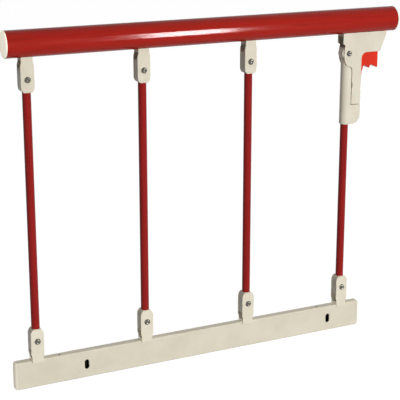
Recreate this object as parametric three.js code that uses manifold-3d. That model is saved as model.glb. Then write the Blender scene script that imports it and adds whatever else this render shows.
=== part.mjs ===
// Folding bed guard rail: a round top rail on four posts that fold flat along a bottom rail.
// Millimetres, +Z up, +X along the rails, +Y towards the bed. The origin is the middle of the
// bottom rail's back face, which is bolted to the side of the bed.
import * as THREE from 'three';
import { mergeVertices } from 'three/addons/utils/BufferGeometryUtils.js';
import Module from 'manifold-3d';

const wasm = await Module();
wasm.setup();

// Driving dimensions of the whole guard
const postCount = 4;
const postSpacing = 152;
const pivotRise = 342; // lower pivot to upper pivot on each post
const lowerStandOff = 26.6; // lower pivot to the top face of the bottom rail
const upperStandOff = 26.6; // upper pivot to the underside of the top tube
const clearance = 0.3; // round a pin, a plug or a sliding piece
const seat = 0.1; // between two flat faces that are fastened together
const overrun = 2; // how far a cut runs past the face it opens

// Bottom rail
const bottomRailHeight = 37.4;
const bottomRailWall = 1.5;
const bottomRailCorner = 1.8;
const bottomRailOverhang = 26.6; // outer posts to the ends of the tube
const bottomCapThickness = 4.6;
const bottomCapRound = 3.6;
const capCorner_share = 0.4; // of the narrow side that the cap's rounding leaves
const bottomCapPlug = 12;
const boltSlotWidth = 6.2;
const boltSlotHeight = 13.6;
const boltSlotLeftInset = 66.4; // first post to the left bolt slot
const boltSlotRightInset = 21.4; // right bolt slot to the last post
const topHoleRadius = 2.1;
const topHoleLeftInset = 30.2; // first post to the left hole in the top face
const topHoleRightInset = 37.8; // right hole in the top face to the last post

// Top rail
const topTubeRadius = 17.1;
const topTubeWall = 1.6;
const topTubeLeftOverhang = 25.4;
const topTubeRightOverhang = 72;
const topCapRim = 0.8;
const topCapDome = 1.6;
const topCapPlug = 14;
const topCapWall = 2;

// Posts and their end fittings
const postRadius = 5.5;
const postWall = 1.2;
const spigotLength = 18;

// Brackets: two ears joined by a web
const earThickness = 1.8;
const earWidth = 17.6;
const earReach = 16.3; // pivot to the rounded end of the ear
const earCornerRun = 5;
const earCornerRise = 7.8;
const neckWidth = 15.2;
const neckHeight = 5;
const neckTaper = 4;
const footLap = 3.4; // the lower ears reach this far down over the bottom rail
const footSag = 0.8;
const webThickness = 3;
const fittingInset = 0.2; // the fitting's side lies this far inside the ears

// Rivets and screws
const rivetRadius = 2.5;
const rivetHeadRadius = 4;
const rivetHeadHeight = 2.2;
const screwRadius = 2;
const screwHeadRadius = 3.6;
const screwHeadHeight = 2.2;
const screwLength = 9;

// Latch bracket under the top rail, places measured from the last post's upper pivot
const headLeft = 9.8;
const headDrop = 14; // pivot to the head's lower left corner
const headTopRight = 60.4;
const headLowRight = 50.6;
const headWall = 1.8;
const innerFillet = 8;
const seam = 0.9; // the line between the latch bracket and the latch housing
const seamPlace = 5.3;
const bossLeft = 7.8;
const bossRise = 18.2; // pivot to the bottom of the round boss
const notchRise = 11; // pivot to the notch between the head and the boss
const seamBend = 8; // height of the seam's S below the boss
const tongueRight = 20.4;
const tongueEnd = 72;
const tongueWall = 1.8;
const tongueLeftWallTop = 14;
const slitTop = 42;
const slitHeight = 7;
const slitDepth = 0.9;
const latchScrewInset = 9.8; // screw to the head's left edge
const latchScrewSpan = 42;

// Latch housing on the last post
const housingLeft = 7.4;
const housingEnd = 100;
const housingShoulder = 12;
const housingCorner = 12;
const housingEdge = 1.6;
const knuckleRadius = 9.6;
const postSocketDepth = 24;

// Trigger, its bolt and its return spring
const triggerTravel = 7;
const triggerSideGap = 0.5;
const triggerRight = 48.2;
const triggerGuideHeight = 8;
const triggerDepth = 18.3; // pivot level to the notches
const toothDrop = 5.2;
const firstNotch = 28;
const firstTooth = 35.4;
const secondNotch = 38.6;
const toothRound = 2.4;
const tailWidth = 3.6;
const tailTipWidth = 0.9;
const tailEnd = 43;
const armFoot = 2;
const armLeft = 10;
const latchBoltPlace = 13.4;
const latchBoltRadius = 2.75;
const latchBoltNose = 1;
const latchBoltGuide = 5; // the bolt stands this far above the arm, inside the spring
const crossPinRadius = 1.25;
const crossPinLift = 4;
const springWire = 0.45;
const springRadius = 3.7;
const springTurns = 5;

// Smoothness of round faces, in sides per turn
const tubeSides = 32;
const postSides = 20;
const rivetSides = 16;
const screwSides = 12;
const coilSteps = 8;
const wireSides = 5;
const cornerSteps = 3;
const housingSteps = 6;
const mergeTolerance_share = 1e-7;

// Sizes that follow from the driving ones
const run = postSpacing * (postCount - 1);
const firstPost = -run / 2;
const lastPost = run / 2;
const earGap = 2 * (postRadius + clearance);
const bracketDepth = earGap + 2 * earThickness;
const bottomRailDepth = earGap - 2 * seat;
const bottomTubeLength = run + 2 * bottomRailOverhang;
const lowerPivot = bottomRailHeight + lowerStandOff;
const upperPivot = lowerPivot + pivotRise;
const topAxis = upperPivot + upperStandOff + topTubeRadius;
const topTubeLength = run + topTubeLeftOverhang + topTubeRightOverhang;
const pinHoleRadius = rivetRadius + clearance;
const screwHoleRadius = screwRadius + clearance;
const boltHoleRadius = latchBoltRadius + clearance;
const lowerWebFace = lowerStandOff - webThickness; // pivot to the inner face of a web
const upperWebFace = upperStandOff - webThickness;
const tubeDrop = upperStandOff + topTubeRadius; // pivot to the top tube's axis
const shelf = tongueEnd + seam;
const armTop = triggerGuideHeight;
const armThickness = earGap - 2 * triggerSideGap;

// Finishes
const redWoodGrain = { color: 0x9c1f1a, roughness: 0.28, metalness: 0 };
const creamCoating = { color: 0xddd5c4, roughness: 0.5, metalness: 0 };
const creamPlastic = { color: 0xe0d8c8, roughness: 0.45, metalness: 0 };
const redPlastic = { color: 0xe2301c, roughness: 0.4, metalness: 0 };
const satinSteel = { color: 0xb7b5ac, roughness: 0.35, metalness: 0.9 };
const springSteel = { color: 0x8a8a88, roughness: 0.4, metalness: 0.9 };

// Turns a closed geometry into a solid that can be joined and cut.
function solid(geometry) {
  const bare = geometry.clone();
  bare.deleteAttribute('normal');
  bare.deleteAttribute('uv');
  const merged = mergeVertices(bare, postSpacing * mergeTolerance_share);
  const corners = merged.index.array;
  const kept = [];
  for (let i = 0; i < corners.length; i += 3) {
    const [a, b, c] = corners.slice(i, i + 3);
    if (a !== b && b !== c && c !== a) kept.push(a, b, c);
  }
  const mesh = new wasm.Mesh({
    numProp: 3,
    vertProperties: new Float32Array(merged.attributes.position.array),
    triVerts: new Uint32Array(kept),
  });
  return new wasm.Manifold(mesh);
}

// Turns a solid back into a geometry.
function geometryOf(shape) {
  const mesh = shape.getMesh();
  const geometry = new THREE.BufferGeometry();
  geometry.setAttribute('position', new THREE.BufferAttribute(mesh.vertProperties, 3));
  geometry.setIndex(new THREE.BufferAttribute(mesh.triVerts, 1));
  return geometry;
}

// Joins solids into one.
function join(...solids) {
  return solids.reduce((whole, next) => whole.add(next));
}

// Cuts solids away from the first one.
function cut(body, ...tools) {
  return tools.reduce((whole, tool) => whole.subtract(tool), body);
}

// A box given by its lowest and highest corners.
function block(low, high) {
  const size = high.map((value, axis) => value - low[axis]);
  const geometry = new THREE.BoxGeometry(...size);
  geometry.translate(...low.map((value, axis) => value + size[axis] / 2));
  return solid(geometry);
}

// A round rod along one axis, centred on a point.
function rod(axis, radius, length, centre, sides) {
  const geometry = new THREE.CylinderGeometry(radius, radius, length, sides);
  if (axis === 'x') geometry.rotateZ(Math.PI / 2);
  if (axis === 'z') geometry.rotateX(Math.PI / 2);
  geometry.translate(...centre);
  return solid(geometry);
}

// An outline drawn in X and Z, made a plate of even thickness about the middle plane.
function plate(outline, thickness, middle = 0) {
  const options = { depth: thickness, bevelEnabled: false, curveSegments: cornerSteps };
  const geometry = new THREE.ExtrudeGeometry(outline, options);
  const toFront = new THREE.Vector3(0, -1, 0);
  geometry.applyMatrix4(new THREE.Matrix4().makeBasis(
    new THREE.Vector3(1, 0, 0), new THREE.Vector3(0, 0, 1), toFront,
  ));
  geometry.translate(0, middle + thickness / 2, 0);
  return solid(geometry);
}

// The same outline twice, as the two ears of a bracket.
function ears(outline) {
  const middle = (earGap + earThickness) / 2;
  return join(plate(outline, earThickness, -middle), plate(outline, earThickness, middle));
}

// A profile of [radius, height] pairs turned about the Y axis, from the bottom outwards and up.
function turned(profile, sides) {
  return new THREE.LatheGeometry(profile.map(([radius, height]) => new THREE.Vector2(radius, height)), sides);
}

// A straight round tube along Y, from height zero up.
function tube(radius, wall, length, sides) {
  const inner = radius - wall;
  return turned([[inner, 0], [radius, 0], [radius, length], [inner, length], [inner, 0]], sides);
}

// Adds one named piece to a group.
function piece(group, name, geometry, finish) {
  const mesh = new THREE.Mesh(geometry, new THREE.MeshStandardMaterial({ ...finish, flatShading: true }));
  mesh.name = name;
  group.add(mesh);
  return mesh;
}

// A rectangle with round corners, drawn about the origin.
function roundedRectangle(width, height, corner) {
  const x = width / 2;
  const y = height / 2;
  const outline = new THREE.Shape();
  outline.moveTo(-x + corner, -y);
  outline.absarc(x - corner, -y + corner, corner, -Math.PI / 2, 0);
  outline.absarc(x - corner, y - corner, corner, 0, Math.PI / 2);
  outline.absarc(-x + corner, y - corner, corner, Math.PI / 2, Math.PI);
  outline.absarc(-x + corner, -y + corner, corner, Math.PI, Math.PI * 1.5);
  return outline;
}

// The ear of a bracket from the front: pivot at the origin, foot below, rounded end above.
function earOutline(standOff, foot) {
  const half = earWidth / 2;
  const neck = neckWidth / 2;
  const neckTop = neckHeight - standOff;
  const roundX = half - earCornerRun;
  const roundZ = earReach - earCornerRise;
  const outline = new THREE.Shape();
  outline.moveTo(-neck, footSag - foot);
  outline.quadraticCurveTo(0, -foot - footSag, neck, footSag - foot);
  outline.lineTo(neck, neckTop);
  outline.lineTo(half, neckTop + neckTaper);
  outline.absellipse(roundX, roundZ, earCornerRun, earCornerRise, 0, Math.PI / 2);
  outline.absellipse(-roundX, roundZ, earCornerRun, earCornerRise, Math.PI / 2, Math.PI);
  outline.lineTo(-half, neckTop + neckTaper);
  outline.lineTo(-neck, neckTop);
  return outline;
}

// The block on a post's end from the front, rounded alike at both ends about the pivot.
function fittingOutline() {
  const half = earWidth / 2 - fittingInset;
  const roundX = half - earCornerRun;
  const roundZ = earReach - earCornerRise;
  const outline = new THREE.Shape();
  outline.moveTo(half, -roundZ);
  outline.absellipse(roundX, roundZ, earCornerRun, earCornerRise, 0, Math.PI / 2);
  outline.absellipse(-roundX, roundZ, earCornerRun, earCornerRise, Math.PI / 2, Math.PI);
  outline.absellipse(-roundX, -roundZ, earCornerRun, earCornerRise, Math.PI, Math.PI * 1.5);
  outline.absellipse(roundX, -roundZ, earCornerRun, earCornerRise, Math.PI * 1.5, Math.PI * 2);
  return outline;
}

const pinHole = rod('y', pinHoleRadius, bracketDepth + overrun, [0, 0, 0], rivetSides);

// A bracket on the bottom rail, with one screw hole through its web. Its front ear laps over the rail, and
// its back ear ends at the rail's top, so that the rail's back lies flat on the bed.
function lowerBracket() {
  const neck = neckWidth / 2;
  const inside = (earGap + earThickness) / 2;
  const web = block([-neck, -inside, seat - lowerStandOff], [neck, inside, -lowerWebFace]);
  const screwHole = rod('z', screwHoleRadius, 2 * webThickness + overrun, [0, 0, -lowerStandOff], screwSides);
  const backFoot = block(
    [-neck - overrun, 0, -lowerStandOff - footLap - footSag - overrun],
    [neck + overrun, inside + earThickness + overrun, seat - lowerStandOff]
  );
  const bothEars = ears(earOutline(lowerStandOff, lowerStandOff + footLap));
  return cut(join(bothEars, web), backFoot, pinHole, screwHole);
}

// The round seat that a bracket under the top tube is cut to.
function topTubeSeat(length, middle) {
  return rod('x', topTubeRadius + clearance, length, [middle, 0, tubeDrop], tubeSides);
}

// A bracket under the top tube, with its web hollowed to seat on the tube.
function upperBracket() {
  const foot = upperStandOff + topTubeRadius / 2;
  const neck = neckWidth / 2;
  const inside = (earGap + earThickness) / 2;
  const upsideDown = ears(earOutline(upperStandOff, foot)).rotate([0, 180, 0]);
  const web = block([-neck, -inside, upperWebFace], [neck, inside, foot - 2 * footSag]);
  const screwHole = rod('z', screwHoleRadius, 2 * webThickness + overrun, [0, 0, upperStandOff], screwSides);
  return cut(join(upsideDown, web), topTubeSeat(earWidth + overrun, 0), pinHole, screwHole);
}

// The moulded block that carries a post's end on its rivet, with a spigot up into the tube.
function postFitting() {
  const radius = postRadius - postWall - clearance;
  const root = earReach / 2;
  const spigot = rod('z', radius, root + spigotLength,
    [0, 0, earReach + (spigotLength - root) / 2], postSides);
  return cut(join(plate(fittingOutline(), 2 * postRadius), spigot), pinHole);
}

// A rivet along Y through both ears, with a domed head on each side.
function pivotRivet() {
  const head = bracketDepth / 2 + seat;
  const domeSteps_shares = [[1, 0.35], [0.72, 0.78]];
  const upper = domeSteps_shares.map(([r, h]) => [r * rivetHeadRadius, head + h * rivetHeadHeight]);
  const half = [[rivetRadius, head], [rivetHeadRadius, head], ...upper, [0, head + rivetHeadHeight]];
  const mirrored = half.map(([radius, height]) => [radius, -height]).reverse();
  return turned([...mirrored, ...half], rivetSides);
}

// A screw along Z: head down at height zero, shank up.
function webScrew() {
  const profile = [
    [0, -screwHeadHeight],
    [screwHeadRadius - screwHeadHeight / 2, -screwHeadHeight],
    [screwHeadRadius, -screwHeadHeight / 2],
    [screwHeadRadius, 0],
    [screwRadius, 0],
    [screwRadius, screwLength - screwRadius / 2],
    [screwRadius / 2, screwLength],
    [0, screwLength],
  ];
  return turned(profile, screwSides).rotateX(Math.PI / 2);
}

// Bottom rail: a rectangular tube with a bolt slot in its front wall near each end, a round screw
// hole in the back wall level with the slot's upper end, and small holes in its top face
function bottomRailTube() {
  const wall = bottomRailWall;
  const outline = roundedRectangle(bottomRailDepth, bottomRailHeight, bottomRailCorner);
  const bore = roundedRectangle(
    bottomRailDepth - 2 * wall, bottomRailHeight - 2 * wall, bottomRailCorner - wall);
  outline.holes.push(bore);
  const options = { depth: bottomTubeLength, bevelEnabled: false, curveSegments: cornerSteps };
  const geometry = new THREE.ExtrudeGeometry(outline, options);
  geometry.applyMatrix4(new THREE.Matrix4().makeBasis(
    new THREE.Vector3(0, 1, 0), new THREE.Vector3(0, 0, 1), new THREE.Vector3(1, 0, 0),
  ));
  geometry.translate(-bottomTubeLength / 2, 0, bottomRailHeight / 2);
  const slotOutline = roundedRectangle(boltSlotWidth, boltSlotHeight, boltSlotWidth / 2);
  const throughWall = 2 * wall + overrun;
  const slotTop = bottomRailHeight / 2 + (boltSlotHeight - boltSlotWidth) / 2;
  const slot = plate(slotOutline, throughWall, -bottomRailDepth / 2);
  const slotPlaces = [firstPost + boltSlotLeftInset, lastPost - boltSlotRightInset];
  const slots = slotPlaces.map((x) => slot.translate([x, 0, bottomRailHeight / 2]));
  const backHoles = slotPlaces
    .map((x) => rod('y', boltSlotWidth / 2, throughWall, [x, bottomRailDepth / 2, slotTop], rivetSides));
  const topHole = (x, radius) => rod('z', radius, 2 * (wall + overrun), [x, 0, bottomRailHeight], screwSides);
  const topHoles = [firstPost + topHoleLeftInset, lastPost - topHoleRightInset]
    .map((x) => topHole(x, topHoleRadius));
  const screwHoles = postPlaces.map((x) => topHole(x, screwHoleRadius));
  return cut(solid(geometry), ...slots, ...backHoles, ...topHoles, ...screwHoles);
}

// End cap of the bottom rail, facing +X: a plate with rounded edges and a hollow plug.
function bottomRailCap() {
  const round = bottomCapRound;
  const flatDepth = bottomRailDepth - 2 * round;
  const outline = roundedRectangle(flatDepth, bottomRailHeight - 2 * round, capCorner_share * flatDepth);
  const options = {
    depth: bottomCapThickness - round,
    bevelSize: round,
    bevelThickness: round,
    bevelSegments: 4,
    curveSegments: cornerSteps,
  };
  const bevelled = new THREE.ExtrudeGeometry(outline, options);
  bevelled.applyMatrix4(new THREE.Matrix4().makeBasis(
    new THREE.Vector3(0, 1, 0), new THREE.Vector3(0, 0, 1), new THREE.Vector3(1, 0, 0),
  ));
  const depth = bottomRailDepth / 2;
  const height = bottomRailHeight / 2;
  const behind = block(
    [-round - overrun, -depth - overrun, -height - overrun], [0, depth + overrun, height + overrun]);
  const fit = bottomRailWall + clearance;
  const plugOutside = [depth - fit, height - fit];
  const plugInside = plugOutside.map((value) => value - bottomRailWall);
  const [outY, outZ] = plugOutside;
  const [inY, inZ] = plugInside;
  const plug = block([-bottomCapPlug, -outY, -outZ], [bottomRailWall, outY, outZ]);
  const hollow = block([-bottomCapPlug - overrun, -inY, -inZ], [0, inY, inZ]);
  return join(cut(solid(bevelled), behind), cut(plug, hollow));
}

// End cap of the top tube, facing +Y as it is turned: a domed disc and a hollow plug.
function topTubeCap() {
  const plug = topTubeRadius - topTubeWall - clearance;
  const domeSteps_shares = [[0.96, 0.4], [0.85, 0.78], [0.55, 0.95]];
  const dome = domeSteps_shares.map(([r, h]) => [r * topTubeRadius, topCapRim + h * topCapDome]);
  const profile = [
    [0, 0],
    [plug - topCapWall, 0],
    [plug - topCapWall, -topCapPlug],
    [plug, -topCapPlug],
    [plug, 0],
    [topTubeRadius, 0],
    [topTubeRadius, topCapRim],
    ...dome,
    [0, topCapRim + topCapDome],
  ];
  return turned(profile, tubeSides);
}

// The latch bracket from the front: head, round boss at the pivot, and tongue down the seam.
function latchBracketOutline() {
  const left = seamPlace + seam / 2;
  const top = upperStandOff + topTubeRadius / 2;
  const outline = new THREE.Shape();
  outline.moveTo(-headLeft, top);
  outline.lineTo(-headLeft, headDrop);
  const notchAngle = Math.PI - Math.asin(notchRise / bossRise);
  outline.absellipse(0, 0, bossLeft, bossRise, notchAngle, Math.PI * 1.5);
  outline.bezierCurveTo(left * 0.6, -bossRise, left, -bossRise - seamBend * 0.3, left, -bossRise - seamBend);
  outline.lineTo(left, -slitTop);
  outline.lineTo(left + slitDepth, -slitTop);
  outline.lineTo(left + slitDepth, -slitTop - slitHeight);
  outline.lineTo(left, -slitTop - slitHeight);
  outline.lineTo(left, -tongueEnd);
  outline.lineTo(tongueRight, -tongueEnd);
  outline.absarc(tongueRight + innerFillet, -innerFillet, innerFillet, Math.PI, Math.PI / 2, true);
  outline.lineTo(headLowRight, 0);
  outline.lineTo(headTopRight, upperStandOff);
  outline.lineTo(headTopRight, top);
  return outline;
}

// The slanted wall that closes the right end of the head, between the plates.
function headEndWall(inside) {
  const slant = headTopRight - headLowRight;
  const outline = new THREE.Shape();
  outline.moveTo(headLowRight - headWall, 0);
  outline.lineTo(headLowRight, 0);
  outline.lineTo(headLowRight + slant, upperStandOff);
  outline.lineTo(headLowRight + slant - headWall, upperStandOff);
  return plate(outline, 2 * inside);
}

// Latch bracket: two plates, a web hollowed to the top tube, and the walls of the tongue.
function latchBracket() {
  const inside = (earGap + earThickness) / 2;
  const top = upperStandOff + topTubeRadius / 2;
  const left = seamPlace + seam / 2;
  const right = tongueRight;
  const rightWallTop = armFoot + triggerTravel + clearance;
  const web = block([-headLeft, -inside, upperWebFace], [headTopRight, inside, top]);
  const rightWall = block([right - tongueWall, -inside, -tongueEnd], [right, inside, -rightWallTop]);
  const leftWallRight = left + slitDepth + tongueWall;
  const leftWallLeft = left + slitDepth;
  const leftWall = block([leftWallLeft, -inside, -tongueEnd], [leftWallRight, inside, -tongueLeftWallTop]);
  const endWall = block([left, -inside, -tongueEnd], [right, inside, tongueWall - tongueEnd]);
  const boltHole = rod('z', boltHoleRadius, tongueWall + overrun,
    [latchBoltPlace, 0, -tongueEnd], rivetSides);
  const screwHoles = latchScrewPlaces
    .map((x) => rod('z', screwHoleRadius, 2 * webThickness + overrun, [x, 0, upperStandOff], screwSides));
  const body = join(ears(latchBracketOutline()), web, rightWall, leftWall, endWall, headEndWall(inside));
  const length = headLeft + headTopRight + 2 * overrun;
  const tubeSeat = topTubeSeat(length, (headTopRight - headLeft) / 2);
  return cut(body, tubeSeat, pinHole, boltHole, ...screwHoles);
}

// The housing from the front, with its upper edge along the seam round the boss.
function housingOutline() {
  const right = seamPlace - seam / 2;
  const bossX = bossLeft + seam;
  const bossZ = bossRise + seam;
  const shoulderAngle = Math.PI + Math.asin(housingShoulder / bossZ);
  const corner = housingCorner;
  const outline = new THREE.Shape();
  outline.moveTo(-housingLeft, -housingShoulder);
  outline.lineTo(-housingLeft, -housingEnd + housingEdge);
  outline.absarc(housingEdge - housingLeft, housingEdge - housingEnd, housingEdge, Math.PI, Math.PI * 1.5);
  outline.absarc(tongueRight - corner, corner - housingEnd, corner, -Math.PI / 2, 0);
  outline.lineTo(tongueRight, -shelf);
  outline.lineTo(right, -shelf);
  outline.lineTo(right, -bossZ - seamBend);
  outline.bezierCurveTo(right, -bossZ - seamBend * 0.3, right * 0.6, -bossZ, 0, -bossZ);
  outline.absellipse(0, 0, bossX, bossZ, Math.PI * 1.5, shoulderAngle, true);
  return outline;
}

// The stock that the housing's body is cut from: its left side is half a cylinder round the post.
function housingStock() {
  const half = bracketDepth / 2;
  const outline = new THREE.Shape();
  outline.moveTo(tongueRight + overrun, -half);
  outline.lineTo(tongueRight + overrun, half);
  outline.absarc(half - housingLeft, 0, half, Math.PI / 2, Math.PI * 1.5);
  const options = { depth: housingEnd + overrun, bevelEnabled: false, curveSegments: housingSteps };
  const geometry = new THREE.ExtrudeGeometry(outline, options);
  geometry.translate(0, 0, -housingEnd - overrun);
  return solid(geometry);
}

// Latch housing: a full-depth body round the post, and a knuckle between the bracket's plates.
function latchHousing() {
  const right = seamPlace - seam / 2;
  const half = postRadius;
  const knuckle = rod('y', knuckleRadius, 2 * half, [0, 0, 0], postSides);
  const neck = block([-housingLeft, -half, -tongueEnd], [right, half, -knuckleRadius / 2]);
  const body = join(join(plate(housingOutline(), bracketDepth), neck).intersect(housingStock()), knuckle);
  const socket = rod('z', postRadius + clearance, postSocketDepth + overrun,
    [0, 0, -housingEnd + (postSocketDepth - overrun) / 2], postSides);
  const pocketDepth = triggerTravel + 2 * clearance;
  const pocket = rod('z', boltHoleRadius, pocketDepth + overrun,
    [latchBoltPlace, 0, -shelf - (pocketDepth - overrun) / 2], rivetSides);
  return cut(body, socket, pocket, pinHole);
}

// The trigger from the front: guide and arm inside the head, toothed grip and tail outside.
function triggerOutline() {
  const left = tongueRight + clearance;
  const notch = -triggerDepth;
  const tooth = -triggerDepth - toothDrop;
  const outline = new THREE.Shape();
  outline.moveTo(armLeft, -armFoot);
  outline.lineTo(left, -armFoot);
  outline.lineTo(left, -tailEnd);
  outline.lineTo(left + tailTipWidth, -tailEnd);
  outline.quadraticCurveTo(left + tailWidth / 2, tooth, left + tailWidth, tooth);
  outline.quadraticCurveTo(left + tailWidth, notch, firstNotch, notch);
  outline.lineTo(firstTooth - toothRound, tooth + toothRound / 2);
  outline.quadraticCurveTo(firstTooth, tooth, firstTooth, tooth + toothRound);
  outline.quadraticCurveTo(firstTooth + toothRound / 2, notch, secondNotch, notch);
  outline.lineTo(triggerRight - toothRound, tooth + toothRound / 2);
  outline.quadraticCurveTo(triggerRight, tooth, triggerRight, tooth + toothRound);
  outline.lineTo(triggerRight, armTop);
  outline.lineTo(armLeft, armTop);
  return outline;
}

// Trigger: one moulding, bored for the latch bolt and its cross pin.
function trigger() {
  const boltHole = rod('z', boltHoleRadius, armTop + armFoot + overrun,
    [latchBoltPlace, 0, (armTop - armFoot) / 2], rivetSides);
  const pinBore = rod('y', crossPinRadius + clearance, armThickness + overrun,
    [latchBoltPlace, 0, crossPinLift], screwSides);
  return cut(plate(triggerOutline(), armThickness), boltHole, pinBore);
}

// Latch bolt along Z, with a chamfered nose and a cross hole at the trigger's arm.
function latchBolt() {
  const nose = -tongueEnd + clearance;
  const top = armTop + latchBoltGuide;
  const profile = [
    [0, nose],
    [latchBoltRadius - latchBoltNose, nose],
    [latchBoltRadius, nose + latchBoltNose],
    [latchBoltRadius, top - latchBoltNose],
    [latchBoltRadius - latchBoltNose, top],
    [0, top],
  ];
  const bolt = solid(turned(profile, rivetSides).rotateX(Math.PI / 2)).translate([latchBoltPlace, 0, 0]);
  const cross = rod('y', crossPinRadius + clearance, 2 * latchBoltRadius + overrun,
    [latchBoltPlace, 0, crossPinLift], screwSides);
  return cut(bolt, cross);
}

// Return spring: one unbroken wire from the trigger's arm up to the bracket's web.
class Helix extends THREE.Curve {
  getPoint(t, target = new THREE.Vector3()) {
    const rise = upperWebFace - armTop - 2 * (springWire + clearance);
    const angle = t * springTurns * 2 * Math.PI;
    return target.set(springRadius * Math.cos(angle), springRadius * Math.sin(angle), t * rise);
  }
}

function latchSpring() {
  const points = Array.from({ length: wireSides }, (_, side) => {
    const angle = (side / wireSides) * 2 * Math.PI;
    return new THREE.Vector2(springWire * Math.cos(angle), springWire * Math.sin(angle));
  });
  const wire = new THREE.Shape(points);
  const options = { steps: springTurns * coilSteps, extrudePath: new Helix(), bevelEnabled: false };
  const geometry = new THREE.ExtrudeGeometry(wire, options);
  return solid(geometry).translate([latchBoltPlace, 0, armTop + springWire + clearance]);
}

// The whole guard, drawn with its middle at the origin and its foot at height zero
const postPlaces = Array.from({ length: postCount }, (_, i) => firstPost + i * postSpacing);
const latchScrewPlaces = [latchScrewInset - headLeft, latchScrewInset - headLeft + latchScrewSpan];
const guard = new THREE.Group();
guard.position.set(0, -bottomRailDepth / 2, -bottomRailHeight / 2);

// Bottom rail assembly
const bottomRail = new THREE.Group();
guard.add(bottomRail);
piece(bottomRail, 'bottom_rail_tube', geometryOf(bottomRailTube()), creamCoating);
const bottomCapGeometry = geometryOf(bottomRailCap());
for (const [side, facing] of [['left', -1], ['right', 1]]) {
  const cap = piece(bottomRail, `bottom_rail_cap_${side}`, bottomCapGeometry, creamPlastic);
  cap.position.set(facing * (bottomTubeLength / 2 + seat), 0, bottomRailHeight / 2);
  if (facing < 0) cap.rotation.z = Math.PI;
}

// Top rail assembly
const topRail = new THREE.Group();
topRail.position.z = topAxis;
guard.add(topRail);
const topTubeLeft = firstPost - topTubeLeftOverhang;
const topTubeRight = lastPost + topTubeRightOverhang;
const tubeScrewPlaces = [...postPlaces.slice(0, -1), ...latchScrewPlaces.map((x) => lastPost + x)];
const topTubeHoles = tubeScrewPlaces
  .map((x) => rod('z', screwHoleRadius, 2 * (topTubeWall + overrun), [x, 0, -topTubeRadius], screwSides));
const plainTube = tube(topTubeRadius, topTubeWall, topTubeLength, tubeSides).rotateZ(-Math.PI / 2);
plainTube.translate(topTubeLeft, 0, 0);
piece(topRail, 'top_rail_tube', geometryOf(cut(solid(plainTube), ...topTubeHoles)), redWoodGrain);
const topCapPlaces = [
  ['left', Math.PI / 2, topTubeLeft - seat],
  ['right', -Math.PI / 2, topTubeRight + seat],
];
for (const [side, turn, end] of topCapPlaces) {
  const cap = piece(topRail, `top_rail_cap_${side}`, topTubeCap().rotateZ(turn), creamPlastic);
  cap.position.x = end;
}

// Brackets, screws, rivets, fittings and tubes at each post
const lowerBracketGeometry = geometryOf(lowerBracket());
const upperBracketGeometry = geometryOf(upperBracket());
const fittingGeometry = geometryOf(postFitting());
const tubeFoot = earReach + seat;
postPlaces.forEach((x, i) => {
  const number = i + 1;
  const last = number === postCount;
  const lower = new THREE.Group();
  lower.position.set(x, 0, lowerPivot);
  guard.add(lower);
  const upper = new THREE.Group();
  upper.position.set(x, 0, upperPivot);
  guard.add(upper);

  piece(lower, `lower_bracket_${number}`, lowerBracketGeometry, creamCoating);
  const lowerScrew = piece(lower, `lower_bracket_screw_${number}`, webScrew(), satinSteel);
  lowerScrew.rotation.x = Math.PI;
  lowerScrew.position.z = seat - lowerWebFace;
  piece(lower, `lower_pivot_rivet_${number}`, pivotRivet(), satinSteel);
  piece(lower, `post_lower_fitting_${number}`, fittingGeometry, creamPlastic);
  const tubeHead = last ? pivotRise - housingEnd + postSocketDepth - clearance : pivotRise - tubeFoot;
  const postTube = tube(postRadius, postWall, tubeHead - tubeFoot, postSides).rotateX(Math.PI / 2);
  piece(lower, `post_tube_${number}`, postTube, redWoodGrain).position.z = tubeFoot;

  piece(upper, `upper_pivot_rivet_${number}`, pivotRivet(), satinSteel);
  if (last) return;
  piece(upper, `upper_bracket_${number}`, upperBracketGeometry, creamCoating);
  piece(upper, `upper_bracket_screw_${number}`, webScrew(), satinSteel).position.z = upperWebFace - seat;
  const fitting = piece(upper, `post_upper_fitting_${number}`, fittingGeometry, creamPlastic);
  fitting.rotation.y = Math.PI;
});

// Latch at the last post's upper pivot
const latch = new THREE.Group();
latch.position.set(lastPost, 0, upperPivot);
guard.add(latch);
piece(latch, 'latch_bracket', geometryOf(latchBracket()), creamPlastic);
piece(latch, 'latch_housing', geometryOf(latchHousing()), creamPlastic);
piece(latch, 'trigger', geometryOf(trigger()), redPlastic);
piece(latch, 'latch_bolt', geometryOf(latchBolt()), satinSteel);
const crossPin = new THREE.CylinderGeometry(crossPinRadius, crossPinRadius, armThickness, screwSides);
piece(latch, 'latch_cross_pin', crossPin, satinSteel).position.set(latchBoltPlace, 0, crossPinLift);
piece(latch, 'latch_spring', geometryOf(latchSpring()), springSteel);
latchScrewPlaces.forEach((x, i) => {
  const screw = piece(latch, `latch_bracket_screw_${i + 1}`, webScrew(), satinSteel);
  screw.position.set(x, 0, upperWebFace - seat);
});

export default guard;
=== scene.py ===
"""Looks of a folding bed guard rail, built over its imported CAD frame.

The guard's sizes are in millimetres in a drawing frame: +X along the rails, +Y towards the bed,
+Z up, with the middle plane at y = 0 and the underside of the bottom rail at z = 0.
Layout.place() brings a point of it into the row frame. The studio is in metres, in the row frame.
"""
from __future__ import annotations

import logging
import math
from dataclasses import dataclass, field
from enum import Enum, IntEnum
from functools import cached_property
from typing import Callable, Iterable, Sequence

import bmesh
import bpy
from mathutils import Matrix, Vector

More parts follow.
